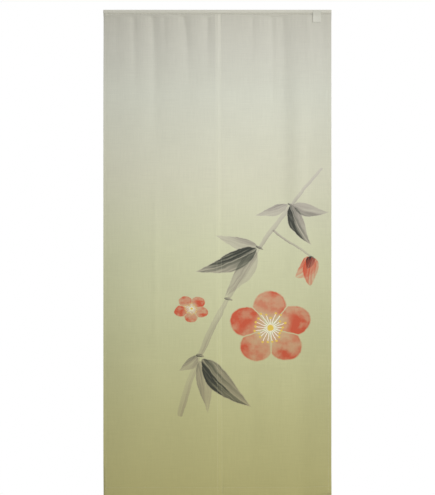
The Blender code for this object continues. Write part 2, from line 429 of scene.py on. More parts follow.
def link_mesh(name, points, faces):
    """A smooth-shaded mesh object from arrays of points and faces."""
    mesh = bpy.data.meshes.new(name)
    mesh.from_pydata(np.asarray(points).tolist(), [], faces)
    mesh.shade_smooth()
    thing = bpy.data.objects.new(name, mesh)
    scene.collection.objects.link(thing)
    return thing


def rounded(thick, from_edge, radius, least):
    """Half the thickness at each point, rounded off at the edge, but nowhere less than a small share."""
    return thick / 2 * np.sqrt(1 - (1 - np.clip(from_edge / radius, least, 1)) ** 2)


def closed_sheet(name, x, y, z, half):
    """A sheet round a grid of middle points, where half is half the thickness at each point."""
    rows, columns = x.shape
    front = np.stack([x, y - half, z], -1).reshape(-1, 3)
    back = np.stack([x, y + half, z], -1).reshape(-1, 3)
    number = np.arange(rows * columns).reshape(rows, columns)
    a, b = number[:-1, :-1].ravel(), number[:-1, 1:].ravel()
    c, d = number[1:, 1:].ravel(), number[1:, :-1].ravel()
    size = rows * columns
    rim = np.concatenate([number[0, :-1], number[:-1, -1], number[-1, :0:-1], number[:0:-1, 0]])
    after = np.roll(rim, -1)
    faces = np.concatenate([np.stack([a, d, c, b], -1), np.stack([a, b, c, d], -1) + size,
                            np.stack([rim, after, after + size, rim + size], -1)])
    return link_mesh(name, np.concatenate([front, back]), faces.tolist())


print("sheet builder ready")

# %% [markdown]
# ## The two panels
#
# The cloth is far thinner than the frame's solids: one layer of polyester is about 0.25 mm, and a
# hem is three layers. A sewing machine also draws the cloth in along each row of stitches, so there is
# a shallow groove along every hem with small puckers beside it, and tiny gathers right under the casing.
# Puckers and gathers are waves along their row. No two are alike, so their spacing drifts.

# %% Grooves and gathers
SIDE_HEM = 13 * MM
SLIT_HEM = 11 * MM
BOTTOM_HEM = 38 * MM
STITCH_INSET = 2 * MM  # from a hem's turned end to its stitches
GROOVE = 0.18 * MM
GROOVE_WIDTH = 1.6 * MM
PUCKER = 0.2 * MM
PUCKER_LENGTH = 9 * MM
PUCKER_DRIFT = (3.0, 31 * MM)  # the spacing drifts by this much phase, over this length
GATHER = 0.55 * MM
GATHER_LENGTH = 15 * MM
GATHER_DRIFT = (2.1, 47 * MM)
GATHER_SWELL = (0.4, 23 * MM)  # their size changes by this share, over this length
GATHER_START = 3 * MM
GATHER_FADE = 26 * MM


def drifting_wave(along, length, drift):
    """A wave along a row, from -1 to 1, with uneven spacing."""
    return np.sin(2 * math.pi * along / length + drift[0] * np.sin(along / drift[1]))


def gather_wave(x):
    """A wave of gathers along the rod, uneven in spacing and size."""
    share, length = GATHER_SWELL
    return drifting_wave(x, GATHER_LENGTH, GATHER_DRIFT) * (1 - share + share * np.sin(x / length + 1))


def gathers(x, depth):
    """How far the gathers bring the cloth forward, below the casing."""
    return GATHER * gather_wave(x) * np.exp(-depth / GATHER_FADE) * ease(depth / GATHER_START)


def stitch_groove(distance, hem, along):
    """The dip along a hem's stitches and the puckers on both sides of it."""
    near = distance - (hem - STITCH_INSET)
    ripple = drifting_wave(along, PUCKER_LENGTH, PUCKER_DRIFT)
    return GROOVE * bell(near / GROOVE_WIDTH) + PUCKER * ripple * bell(near / (4 * GROOVE_WIDTH))


print("a side hem has its stitches", round((SIDE_HEM - STITCH_INSET) / MM, 1), "mm from the edge")

# %% [markdown]
# ## Where the panels' points lie
#
# A mesh can bend only where it has points. Rows and columns lie a few millimetres apart on the open
# cloth. Near an edge they lie closer, so that its roundness, the roll, the stitches and the step at the
# hem's end can show, and near the top, so that the folds can open.

# %% Panel grids
EDGE_RADIUS = 0.6 * MM
EDGE_LEAST = 0.06  # of the thickness, left at the very edge
HEM_END_LINES = (-4, -2.6, -1.8, -1, -0.2, 0.4, 1.6)  # mm from a hem's turned end
COLUMN_STEP = 4.6 * MM
ROW_STEP = 5.4 * MM
TOP_ROW_STEP = 2.5 * MM
TOP_ROWS_LENGTH = 60 * MM
SECOND_ROW_SHIFT = 4 * MM  # so that a panel's two side hems don't pucker at the same depths


def hem_lines(hem):
    """Distances of grid lines from an edge: round it, over its roll, and at the hem's end."""
    return [0.0, 0.25 * EDGE_RADIUS, EDGE_RADIUS, 0.3 * ROLL_WIDTH, 0.7 * ROLL_WIDTH, hem / 2,
            *(hem + line * MM for line in HEM_END_LINES)]


def grid_lines(length, first_hem, last_hem, step):
    """Distances across or down a panel, from its first edge to its last."""
    first = hem_lines(first_hem) if first_hem else [0.0]
    last = [length - line for line in reversed(hem_lines(last_hem))]
    if not first_hem:
        first += list(np.arange(TOP_ROW_STEP, TOP_ROWS_LENGTH, TOP_ROW_STEP))
    count = int((last[0] - first[-1]) / step)
    return np.array(first + list(np.linspace(first[-1], last[0], count + 1)[1:-1]) + last)


def panel_edges(depth, side):
    """The x of a panel's outer edge and of its slit edge, for depths below the stitch line."""
    outer = np.full_like(depth, cloth_low[0] if side < 0 else cloth_high[0])
    return outer, seam_x(depth) - side * LAP / 2


def panel_mesh(name, side):
    """One panel, from its outer edge to the slit. The side is -1 for the left panel and 1 for the right."""
    depth = grid_lines(panel_length, 0.0, BOTTOM_HEM, ROW_STEP)
    outer, slit = panel_edges(depth, side)
    first, last = (outer, slit) if side < 0 else (slit, outer)
    hems = (SIDE_HEM, SLIT_HEM) if side < 0 else (SLIT_HEM, SIDE_HEM)
    width = last[0] - first[0]
    across = grid_lines(width, *hems, COLUMN_STEP)
    x = first[:, None] + (last - first)[:, None] * (across / width)[None, :]
    down = np.broadcast_to(depth[:, None], x.shape)
    y, z = cloth_front(x, down, side)
    from_first, from_last = across[None, :], (width - across)[None, :]
    from_foot = (panel_length - depth)[:, None]
    y = y + stitch_groove(from_first, hems[0], down)
    y = y + stitch_groove(from_last, hems[1], down + SECOND_ROW_SHIFT)
    y = y + stitch_groove(from_foot, BOTTOM_HEM, x) - gathers(x, down)
    in_hem = (from_first < hems[0]) | (from_last < hems[1]) | (from_foot < BOTTOM_HEM)
    thick = LAYER * np.where(in_hem, HEM_LAYERS, 1)
    from_edge = np.minimum(np.minimum(from_first, from_last), from_foot)
    panel = closed_sheet(name, x, y + thick / 2, z, rounded(thick, from_edge, EDGE_RADIUS, EDGE_LEAST))
    print(name, x.shape[0], "rows by", x.shape[1], "columns")
    return panel


left_panel = panel_mesh("panel_left_cloth", -1)
right_panel = panel_mesh("panel_right_cloth", 1)

# %% [markdown]
# ## The rod casing
#
# The top of the curtain is turned back round a rod and stitched together just below it. Seen from its
# end the casing is a drop: round where it lies on the rod, and straight where its two layers run down to
# the stitches. It is turned here as two rings of points, outside and inside, at many places along the
# rod. The cloth is drawn in by the stitches, so small puckers run up from them and fade over the rod.

# %% Casing mesh
CASING_RADIUS = 7.2 * MM
CASING_LAYER = 0.5 * MM
NECK = 2 * CLOTH  # how deep the casing is at its foot, from front to back
CASING_SIDES = 40
CASING_STEP = 2.2 * MM
CASING_PUCKER = 0.5 * MM
CASING_DRAW = 0.15 * MM  # the cloth lies this much further in, to leave room for the puckers
PUCKER_TOP = 0.7 * CASING_RADIUS  # the puckers have faded at this height
PUCKER_AT_STITCHES = 0.3
FINE_PUCKER = (0.3, 7 * MM)  # a smaller wave's share of the height, and its scale


def drop_outline(radius, foot, foot_width, sides):
    """A drop-shaped outline in y and z, from its narrow foot at the back over the top to the front."""
    reach = math.hypot(foot_width / 2, foot)
    start = math.atan2(-foot, foot_width / 2) + math.acos(radius / reach)
    angles = np.linspace(start, math.pi - start, sides + 1)
    arc = np.stack([radius * np.cos(angles), radius * np.sin(angles)], -1)
    feet = np.array([[foot_width / 2, -foot], [-foot_width / 2, -foot]])
    middles = (feet + arc[[0, -1]]) / 2
    return np.concatenate([feet[:1], middles[:1], arc, middles[1:], feet[1:]])


def casing_mesh(name):
    """The casing as a closed shell: an outside, an inside and a rim at each end."""
    x = np.linspace(casing_low[0], casing_high[0], int(hung_width / CASING_STEP))
    outer = drop_outline(CASING_RADIUS, STITCH_DROP, NECK, CASING_SIDES)
    inner = drop_outline(CASING_RADIUS - CASING_LAYER, STITCH_DROP - CASING_LAYER, NECK / 4, CASING_SIDES)
    pull = ease((PUCKER_TOP - outer[:, 1]) / (CASING_RADIUS + STITCH_DROP))
    pull[[0, -1]] *= PUCKER_AT_STITCHES
    wave = gather_wave(x) + FINE_PUCKER[0] * np.sin(x / FINE_PUCKER[1])
    puckers = CASING_PUCKER * wave[:, None] * pull[None, :]
    outward = outer / np.linalg.norm(outer, axis=1)[:, None]
    outside = outer[None] + (puckers - CASING_DRAW)[..., None] * outward[None]
    inside = np.broadcast_to(inner[None], outside.shape)
    stations, ring = outside.shape[:2]
    along = np.broadcast_to(x[:, None, None], (stations, ring, 1))
    points = np.concatenate([np.concatenate([along, loop], -1).reshape(-1, 3) for loop in (outside, inside)])
    number = np.arange(stations * ring).reshape(stations, ring)
    following = np.roll(number, -1, axis=1)
    a, b, c, d = number[:-1], number[1:], following[1:], following[:-1]
    shell = np.stack([a, d, c, b], -1).reshape(-1, 4)
    inside_shell = np.stack([a, b, c, d], -1).reshape(-1, 4) + stations * ring
    size = stations * ring
    start = np.stack([number[0], number[0] + size, following[0] + size, following[0]], -1)
    end = np.stack([number[-1], following[-1], following[-1] + size, number[-1] + size], -1)
    return link_mesh(name, points, np.concatenate([shell, inside_shell, start, end]).tolist())


casing = casing_mesh("rod_casing_cloth")
print("casing:", len(casing.data.vertices), "points")

# %% [markdown]
# ## The label
#
# A strip of pale satin tape is sewn to the front of the casing along its upper end. From there it hangs
# down in front of the stitch line, and lower down it nearly touches the cloth. Nothing is printed on it.
# Its lower end is turned under, so it is thicker there.

# %% Label mesh
LABEL_X = 367 * MM
LABEL_WIDTH = 30 * MM
LABEL_TOP = 3.0 * MM
LABEL_FOOT = -39.0 * MM
LABEL_LAYER = 0.35 * MM
LABEL_EDGE = 0.5 * MM
LABEL_LEAST = 0.1  # of the thickness, left at the very edge
LABEL_STAND = 0.9 * MM
LABEL_FALL = 17 * MM  # over this length it comes back from the casing to the cloth
LABEL_AIR = 0.1 * MM
LABEL_CURL = 0.4 * MM  # its two lower corners stand forward
LABEL_TURN = 7 * MM
LABEL_ROWS = 60
LABEL_COLUMNS = 26


def label_front(x, z):
    """The y of the back of the label: round the casing at its upper end, and near the cloth further down."""
    round_casing = -np.sqrt(CASING_RADIUS ** 2 - np.clip(z, 0.0, CASING_RADIUS) ** 2)
    near_cloth = cloth_front(x, np.maximum(panel_top - z, 0.0), 1)[0] - LABEL_STAND
    return round_casing + (near_cloth - round_casing) * ease(-z / LABEL_FALL) - LABEL_AIR


def label_mesh(name):
    """The tape, with its lower end turned under."""
    across = np.linspace(-0.5, 0.5, LABEL_COLUMNS + 1) * LABEL_WIDTH
    z_line = np.linspace(LABEL_TOP, LABEL_FOOT, LABEL_ROWS + 1)
    z, x = np.meshgrid(z_line, LABEL_X + across, indexing="ij")
    curl = LABEL_CURL * (2 * across / LABEL_WIDTH) ** 2 * ease(z_line[:, None] / LABEL_FOOT)
    turned = z < LABEL_FOOT + LABEL_TURN
    thick = LABEL_LAYER * np.where(turned, 2, 1)
    from_edge = np.minimum(LABEL_WIDTH / 2 - np.abs(across)[None, :], (z_line - LABEL_FOOT)[:, None])
    y = label_front(x, z) - curl - thick / 2
    return closed_sheet(name, x, y, z, rounded(thick, from_edge, LABEL_EDGE, LABEL_LEAST))


label = label_mesh("care_label_tape")
print("label:", len(label.data.vertices), "points")

# %% [markdown]
# ## The stitches
#
# A lockstitch shows on each face as a row of short arched threads whose ends dip into the cloth. One
# stitch is a small tube that thins and dips at both ends. The same small mesh is laid along each seam,
# turned to follow it, and joined into one object for each piece of cloth.

# %% Stitch builder
STITCH_PITCH = 3.4 * MM
STITCH_LENGTH = 2.7 * MM
THREAD_RADIUS = 0.22 * MM
THREAD_SIDES = 5
STITCH_ALONG = np.array([-0.5, -0.38, 0.0, 0.38, 0.5])  # of the stitch's length
STITCH_GIRTH = np.array([0.35, 0.9, 1.0, 0.9, 0.35])  # of the thread's radius
STITCH_DIP = np.array([1.6, 0.3, 0.0, 0.3, 1.6])  # of the thread's radius
STITCH_RISE = 0.4  # of the thread's radius: how far the thread's middle stands off the cloth


def stitch_rows(name, rows):
    """Stitches along rows. Each row is (centres, directions, outward), three arrays of one length."""
    centres, along, out = (np.concatenate([row[k] for row in rows]) for k in range(3))
    along = along / np.linalg.norm(along, axis=1)[:, None]
    out = out - along * np.sum(out * along, axis=1)[:, None]
    out = out / np.linalg.norm(out, axis=1)[:, None]
    beside = np.cross(along, out)
    turn = 2 * math.pi * np.arange(THREAD_SIDES) / THREAD_SIDES
    points = []
    for place, girth, dip in zip(STITCH_ALONG, STITCH_GIRTH, STITCH_DIP):
        for angle in turn:
            rise = THREAD_RADIUS * (girth * math.sin(angle) - dip + STITCH_RISE)
            points.append(centres + along * STITCH_LENGTH * place + out * rise
                          + beside * THREAD_RADIUS * girth * math.cos(angle))
    points = np.stack(points, 1)
    faces = []
    for ring in range(len(STITCH_ALONG) - 1):
        for k in range(THREAD_SIDES):
            following = (k + 1) % THREAD_SIDES
            low, high = ring * THREAD_SIDES, (ring + 1) * THREAD_SIDES
            faces.append((low + k, high + k, high + following, low + following))
    one = len(STITCH_ALONG) * THREAD_SIDES
    ends = [tuple(range(THREAD_SIDES)), tuple(reversed(range(one - THREAD_SIDES, one)))]
    every = [tuple(n + one * k for n in face) for k in range(len(centres)) for face in faces + ends]
    print(name, len(centres), "stitches")
    return link_mesh(name, points.reshape(-1, 3), every)


def row_through(points, out):
    """A row of stitches between neighbouring points, facing out."""
    centres = (points[1:] + points[:-1]) / 2
    return centres, np.diff(points, axis=0), np.broadcast_to(np.array(out, float), centres.shape)


print("stitch builder ready")

# %% [markdown]
# ## Sewing the panels
#
# Each hem is sewn once, 2 mm inside its turned end, and the thread shows on both faces. The two panels
# are also joined to each other down to where the slit starts, by small stitches that wrap over the left
# panel's edge.

# %% Stitches on the panels
ROW_END = 2 * MM  # the rows along the side hems end this far from the panel's ends
LEVEL_ROW_END = 3 * MM  # those along the foot and the casing this far, and the panels are joined from here
WRAP_PITCH = 4.5 * MM
WRAP_REACH = 0.3 * MM  # past the left panel's edge
WRAP_FRONT = 0.6  # how near the front a wrapping stitch lies, from one hem to the other
WRAP_WAY = (1.0, 1.1, 0.15)
WRAP_FACING = (0.7, -0.7, 0.0)


def panel_row(side, x, depth, face):
    """Stitches through points of a panel, on its front (face -1) or on its back (face 1)."""
    y, z = cloth_front(x, depth, side)
    y = y + GROOVE - gathers(x, depth) + (LAYER * HEM_LAYERS - GROOVE if face > 0 else 0.0)
    return row_through(np.stack([x, y, z], -1), (0, face, 0))


def hem_rows(side):
    """The rows along a panel's side hem, slit hem and bottom hem, on both of its faces."""
    depth = np.arange(ROW_END, panel_length - ROW_END, STITCH_PITCH)
    outer, slit = panel_edges(depth, side)
    foot_ends = sorted((outer[-1] - side * LEVEL_ROW_END, slit[-1] + side * LEVEL_ROW_END))
    foot_x = np.arange(foot_ends[0], foot_ends[1], STITCH_PITCH)
    foot_depth = np.full_like(foot_x, panel_length - BOTTOM_HEM + STITCH_INSET)
    lines = ((outer - side * (SIDE_HEM - STITCH_INSET), depth),
             (slit + side * (SLIT_HEM - STITCH_INSET), depth), (foot_x, foot_depth))
    return [panel_row(side, x, down, face) for face in (-1, 1) for x, down in lines]


def joining_row():
    """The stitches that hold the panels together, from the casing to where the slit starts."""
    depth = np.arange(LEVEL_ROW_END, JOINED_LENGTH, WRAP_PITCH)
    x = seam_x(depth) + LAP / 2
    near, z = cloth_front(x, depth, -1)
    far, _ = cloth_front(x, depth, 1)
    centres = np.stack([x + WRAP_REACH, near * WRAP_FRONT + far * (1 - WRAP_FRONT), z], -1)
    return centres, np.broadcast_to(WRAP_WAY, centres.shape), np.broadcast_to(WRAP_FACING, centres.shape)


left_stitches = stitch_rows("panel_left_stitches", [*hem_rows(-1), joining_row()])
right_stitches = stitch_rows("panel_right_stitches", hem_rows(1))

# %% [markdown]
# ## Sewing the casing and the label
#
# One row runs the whole width just above the panels' top edge and closes the casing. A short row of its
# own, near the label's upper end, holds the label to the casing.

# %% Stitches on the casing and label
NECK_STITCH_Z = -8.3 * MM
NECK_SLOPE = -0.6  # the neck's faces look down this much for each 1 that they look out
LABEL_STITCH_DROP = 1.6 * MM  # below the label's upper end
LABEL_ROW_ENDS = (1.5 * MM, 1.0 * MM)  # from the label's left and right edge


def level_row(x, y, z, out):
    """A row along x at one height. The y may be one number or one for each x."""
    return row_through(np.stack([x, np.broadcast_to(y, x.shape), np.full_like(x, z)], -1), out)


casing_x = np.arange(casing_low[0] + LEVEL_ROW_END, casing_high[0] - LEVEL_ROW_END, STITCH_PITCH)
neck_y = NECK / 2 + (STITCH_DROP + NECK_STITCH_Z)
casing_stitches = stitch_rows("rod_casing_stitches", [
    level_row(casing_x, face * neck_y, NECK_STITCH_Z, (0, face, NECK_SLOPE)) for face in (-1, 1)])

label_x = np.arange(LABEL_X - LABEL_WIDTH / 2 + LABEL_ROW_ENDS[0],
                    LABEL_X + LABEL_WIDTH / 2 - LABEL_ROW_ENDS[1], STITCH_PITCH)
label_z = LABEL_TOP - LABEL_STITCH_DROP
label_stitches = stitch_rows("care_label_stitches", [
    level_row(label_x, label_front(label_x, label_z) - LABEL_LAYER, label_z, (0, -1, 0))])

# %% [markdown]
# ## Helpers for node groups
#
# The weave, the brush dabs and the blossoms are node groups, because each is used several times. All of
# them need an empty group with named sockets. Ink and dye also depend on several things at once, such
# as how near the rim a place is and how full the brush was, so the last helper multiplies a value by one
# smooth step for each of them.

# %% Group helpers


def new_group(name, inputs, outputs):
    """An empty node group with named sockets: its tree, the sockets that go in and those that come out."""
    tree = bpy.data.node_groups.new(name, "ShaderNodeTree")
    for socket, kind in inputs:
        tree.interface.new_socket(socket, in_out="INPUT", socket_type="NodeSocket" + kind)
    for socket in outputs:
        tree.interface.new_socket(socket, in_out="OUTPUT", socket_type="NodeSocketFloat")
    return tree, tree.nodes.new("NodeGroupInput").outputs, tree.nodes.new("NodeGroupOutput").inputs


def times_steps(tree, value, steps):
    """A value times smooth steps. A step is (what it follows, its low and high end, the factor at each)."""
    for follows, low, high, at_low, at_high in steps:
        factor = add(tree, "MapRange", {"Value": follows, "From Min": low, "From Max": high,
                                        "To Min": at_low, "To Max": at_high}, interpolation_type="SMOOTHSTEP")
        value = add(tree, "Math", [factor, value], operation="MULTIPLY")
    return value


print("group helpers ready")

# %% [markdown]
# ## Plain weave
#
# The cloth is polyester in plain weave: every thread goes over one and under the next. Seen close up,
# that is a field of small bumps, and the product of two sine waves gives it. The real threads are about
# 0.35 mm apart, finer than even a close view shows, so they are drawn 0.9 mm apart. The yarn is also a
# little uneven, which shows as faint streaks along both threads. The group takes a place on the cloth in
# millimetres and gives the height of the weave and the streaks.

# %% Weave group
THREAD_PITCH = 0.9  # mm
STREAK_WIDTH = 3.0  # mm
STREAK_LENGTH = 70.0  # mm
WEAVE_BUMP = {"Strength": 0.35, "Distance": 0.15 * MM}


def make_weave():
    """The group of the weave: a place in mm goes in, and the weave's height and the streaks come out."""
    tree, given, result = new_group("plain_weave", [("Place", "Vector")], ["Height", "Streaks"])
    turns = add(tree, "VectorMath",
                {"Vector": given["Place"], "Scale": math.pi / THREAD_PITCH}, operation="SCALE")
    parts = add(tree, "SeparateXYZ", [turns]).node.outputs
    warp = add(tree, "Math", [parts["X"]], operation="SINE")
    weft = add(tree, "Math", [parts["Y"]], operation="SINE")
    crossing = add(tree, "Math", [warp, weft], operation="MULTIPLY")
    height = add(tree, "Math", [crossing], operation="ABSOLUTE")
    tree.links.new(height, result["Height"])
    streaks = []
    for scale in ((1 / STREAK_WIDTH, 1 / STREAK_LENGTH, 1), (1 / STREAK_LENGTH, 1 / STREAK_WIDTH, 1)):
        place = add(tree, "VectorMath", [given["Place"], scale], operation="MULTIPLY")
        streaks.append(add(tree, "TexNoise", {"Vector": place, "Scale": 1.0, "Detail": 2.0}))
    both = add(tree, "Math", streaks, operation="ADD")
    centred = add(tree, "Math", [both, 1.0], operation="SUBTRACT")
    tree.links.new(centred, result["Streaks"])
    return tree


weave = make_weave()
print("weave group:", len(weave.nodes), "nodes")

# %% [markdown]
# ## One dab of a loaded brush
#
# The print imitates ink wash, in which a leaf or a length of stem is a single dab of the brush. A dab
# has a long axis, a width that swells and tapers, a bend, and a tone. Inside it the ink is streaked by
# the bristles, darker on the side that held more ink, and pooled along its rim. The group works all of
# that out from the place on the cloth and gives how much of the cloth stays clear. A curve node holds
# the leaf's outline. Raised to a low power the same outline becomes blunt, which makes a stem.

# %% Brush dab group
LEAF_OUTLINE = ((0.0, 0.0), (0.05, 0.34), (0.2, 0.86), (0.36, 1.0), (0.6, 0.74), (0.84, 0.3), (1.0, 0.0))
BRISTLES = (0.9, 4.5, 1.0)  # streaks along and across a dab
BRISTLE_SEED = 7.0  # a dab's turn times this makes its streaks unlike those of the others
INK_MOST = 0.985  # the most of the cloth that one dab covers


def make_dab():
    """The group of one dab: its place, size, bend and tone go in, and how clear the cloth stays comes out."""
    tree, given, result = new_group(
        "brush_dab",
        [("Place", "Vector"), ("Centre", "Vector"), ("Half size", "Vector"), ("Turn", "Float"),
         ("Bend", "Float"), ("Bluntness", "Float"), ("Tone", "Float")],
        ["Clear"],
    )
    local = add(tree, "VectorMath", [given["Place"], given["Centre"]], operation="SUBTRACT")
    turned = add(tree, "VectorRotate", {"Vector": local, "Angle": given["Turn"]}, rotation_type="Z_AXIS")
    scaled = add(tree, "VectorMath", [turned, given["Half size"]], operation="DIVIDE")
    parts = add(tree, "SeparateXYZ", [scaled]).node.outputs
    along = add(tree, "MapRange", {"Value": parts["X"], "From Min": -1.0, "From Max": 1.0})
    square = add(tree, "Math", [parts["X"], parts["X"]], operation="MULTIPLY")
    bowed = add(tree, "Math", [square, given["Bend"], parts["Y"]], operation="MULTIPLY_ADD")
    across = add(tree, "Math", [bowed, given["Bend"]], operation="SUBTRACT")
    off_axis = add(tree, "Math", [across], operation="ABSOLUTE")
    outline = add(tree, "FloatCurve", {"Value": along})
    curve = outline.node.mapping.curves[0]
    curve.points[0].location, curve.points[-1].location = LEAF_OUTLINE[0], LEAF_OUTLINE[-1]
    for point in LEAF_OUTLINE[1:-1]:
        curve.points.new(*point)
    outline.node.mapping.update()
    edge = add(tree, "Math", [outline, given["Bluntness"]], operation="POWER")
    rim = add(tree, "Math", [edge, off_axis], operation="SUBTRACT")
    seed = add(tree, "Math", [given["Turn"], BRISTLE_SEED], operation="MULTIPLY")
    bristles = add(tree, "CombineXYZ", [parts["X"], across, seed])
    bristles = add(tree, "VectorMath", [bristles, BRISTLES], operation="MULTIPLY")
    streaks = add(tree, "TexNoise", {"Vector": bristles, "Scale": 1.0, "Detail": 3.0})
    ink = times_steps(tree, given["Tone"], (
        (rim, 0.0, 0.14, 0.0, 1.0),  # inside the outline
        (rim, 0.03, 0.24, 1.25, 1.0),  # ink pooled along the rim
        (streaks, 0.32, 0.68, 0.68, 1.2),
        (across, -0.8, 0.8, 1.15, 0.55),  # the side that held more ink
        (along, 0.0, 1.0, 1.08, 0.72),  # the brush runs dry towards the tip
        (off_axis, 0.02, 0.09, 0.62, 1.0),  # the vein
    ))
    capped = add(tree, "Math", [ink, INK_MOST], operation="MINIMUM")
    clear = add(tree, "Math", [1.0, capped], operation="SUBTRACT")
    tree.links.new(clear, result["Clear"])
    return tree


dab_group = make_dab()
print("brush dab group:", len(dab_group.nodes), "nodes")

# %% [markdown]
# ## Round a blossom
#
# A round blossom repeats itself: five petals, and many stamens. It is enough to draw one petal and one
# stamen, if the angle round the blossom's heart is folded into one share of the full turn. These two
# helpers find the distance and angle from the heart, and fold the angle. Each share also gets a random
# number of its own, so that the petals and stamens don't look stamped. Both groups take the same things.

# %% Round the heart
BLOSSOM_INPUTS = [("Place", "Vector"), ("Centre", "Vector"), ("Radius", "Vector"), ("Turn", "Float")]


def round_heart(tree, given):
    """The place in radii of the blossom, its distance from the heart, and the angle round it."""
    local = add(tree, "VectorMath", [given["Place"], given["Centre"]], operation="SUBTRACT")
    local = add(tree, "VectorMath", [local, given["Radius"]], operation="DIVIDE")
    local = add(tree, "VectorRotate", {"Vector": local, "Angle": given["Turn"]}, rotation_type="Z_AXIS")
    reach = add(tree, "VectorMath", [local], operation="LENGTH").node.outputs["Value"]
    parts = add(tree, "SeparateXYZ", [local]).node.outputs
    return local, reach, add(tree, "Math", [parts["Y"], parts["X"]], operation="ARCTAN2")


def one_share(tree, angle, count):
    """The angle folded into one of so many equal shares, and a random number for the share."""
    half = math.pi / count
    folded = add(tree, "Math", [angle, half, -half], operation="WRAP")
    start = add(tree, "Math", [angle, folded], operation="SUBTRACT")
    number = add(tree, "Math", [start, 2 * half], operation="DIVIDE")
    number = add(tree, "Math", [number], operation="ROUND")
    uneven = add(tree, "TexWhiteNoise", {"W": number}, noise_dimensions="1D").node.outputs["Value"]
    return folded, uneven


print("blossom helpers ready")

# %% [markdown]
# ## Petals
#
# Each petal is a wet red wash. It is pale near the heart and strong at the rim, where the colour pools,
# and a thin unprinted line keeps it apart from the next one. The group gives how red the place is.

# %% Petal group
PETALS = 5
PETAL_MIDDLE = (0.56, 0.0, 0.0)  # in radii of the blossom, as is the petal's half size
PETAL_HALF_SIZE = (0.44, 0.41, 1.0)
PETAL_CLOUDS = 2.6  # clouds of colour along one radius


def make_petals():
    """The group of the petals: a blossom's place, size and turn go in, and how red it is comes out."""
    tree, given, result = new_group("petals", BLOSSOM_INPUTS, ["Red"])
    local, reach, angle = round_heart(tree, given)
    folded, uneven = one_share(tree, angle, PETALS)
    cosine = add(tree, "Math", [folded], operation="COSINE")
    sine = add(tree, "Math", [folded], operation="SINE")
    petal = add(tree, "CombineXYZ", [cosine, sine])
    petal = add(tree, "VectorMath", {"Vector": petal, "Scale": reach}, operation="SCALE")
    petal = add(tree, "VectorMath", [petal, PETAL_MIDDLE], operation="SUBTRACT")
    petal = add(tree, "VectorMath", [petal, PETAL_HALF_SIZE], operation="DIVIDE")
    side = add(tree, "SeparateXYZ", [petal]).node.outputs["Y"]
    from_middle = add(tree, "VectorMath", [petal], operation="LENGTH").node.outputs["Value"]
    off_middle = add(tree, "Math", [folded], operation="ABSOLUTE")
    to_next = add(tree, "Math", [math.pi / PETALS, off_middle], operation="SUBTRACT")
    between = add(tree, "Math", [to_next, reach], operation="MULTIPLY")
    clouds = add(tree, "TexNoise", {"Vector": local, "Scale": PETAL_CLOUDS, "Detail": 3.0})
    red = times_steps(tree, 1.0, (
        (from_middle, 0.88, 1.0, 1.0, 0.0),  # inside the petal
        (between, 0.0, 0.025, 0.0, 1.0),  # the unprinted line
        (reach, 0.14, 0.7, 0.35, 1.0),  # pale near the heart
        (clouds, 0.34, 0.62, 0.62, 1.15),
        (side, -0.8, 0.8, 1.1, 0.76),  # the side that held more colour
        (uneven, 0.0, 1.0, 0.85, 1.1),
        (from_middle, 0.8, 0.97, 1.0, 1.2),  # colour pooled along the rim
    ))
    red = add(tree, "Math", [red, 1.0], operation="MINIMUM")
    tree.links.new(red, result["Red"])
    return tree


petal_group = make_petals()
print("petal group:", len(petal_group.nodes), "nodes")

# %% [markdown]
# ## Stamens
#
# Each stamen is a fine pale line from the heart that ends in a golden dot. The lines differ in length,
# by the random number of their share. The group gives how much of the place is line, and how much gold.

# %% Stamen group
STAMENS = 21
STAMEN_REACH = (0.26, 0.44)  # least and most, in radii of the blossom
LINE_EDGE = (0.004, 0.011)  # a line fades out between these distances from its middle, in radii
LINE_END = 0.01  # and over this length at its tip
DOT_EDGE = (0.022, 0.034)  # the golden dot and the heart fade out between these distances too
HEART_EDGE = (0.064, 0.096)


def make_stamens():
    """The group of the stamens: a blossom's place, size and turn go in, and line and gold come out."""
    tree, given, result = new_group("stamens", BLOSSOM_INPUTS, ["Line", "Gold"])
    local, reach, angle = round_heart(tree, given)
    folded, uneven = one_share(tree, angle, STAMENS)
    tip = add(tree, "MapRange", {"Value": uneven, "To Min": STAMEN_REACH[0], "To Max": STAMEN_REACH[1]})
    side = add(tree, "Math", [folded, reach], operation="MULTIPLY")
    off_line = add(tree, "Math", [side], operation="ABSOLUTE")
    before_tip = add(tree, "Math", [tip, reach], operation="SUBTRACT")
    from_tip = add(tree, "CombineXYZ", [before_tip, side])
    from_tip = add(tree, "VectorMath", [from_tip], operation="LENGTH").node.outputs["Value"]
    line = times_steps(tree, 1.0, ((off_line, *LINE_EDGE, 1.0, 0.0), (before_tip, 0.0, LINE_END, 0.0, 1.0)))
    dots = times_steps(tree, 1.0, ((from_tip, *DOT_EDGE, 1.0, 0.0),))
    heart = times_steps(tree, 1.0, ((reach, *HEART_EDGE, 1.0, 0.0),))
    gold = add(tree, "Math", [dots, heart], operation="MAXIMUM")
    tree.links.new(line, result["Line"])
    tree.links.new(gold, result["Gold"])
    return tree


stamen_group = make_stamens()
print("stamen group:", len(stamen_group.nodes), "nodes")

# %% [markdown]
# ## The design
#
# The design is a traditional pairing, plum blossom and bamboo: a jointed stem that climbs across the
# cloth, drooping leaves in black and grey wash, a large blossom, a small one and a bud. Each dab is
# one row: where the brush first touched the cloth, which way it went, how long and wide the dab is, how
# much it bends, how blunt its ends are, and its tone. Places are in millimetres from the middle of the
# casing, with heights below it negative.

# %% Design tables


class Dab(NamedTuple):
    """One dab of the brush. Lengths in mm, turn in degrees, bend in half widths."""

    x: float
    z: float
    turn: float
    length: float
    width: float
    bend: float
    bluntness: float
    tone: float


class Blossom(NamedTuple):
    """One open blossom. Lengths in mm, turn in degrees, squash is its height over its width."""

    x: float
    z: float
    radius: float
    squash: float
    turn: float


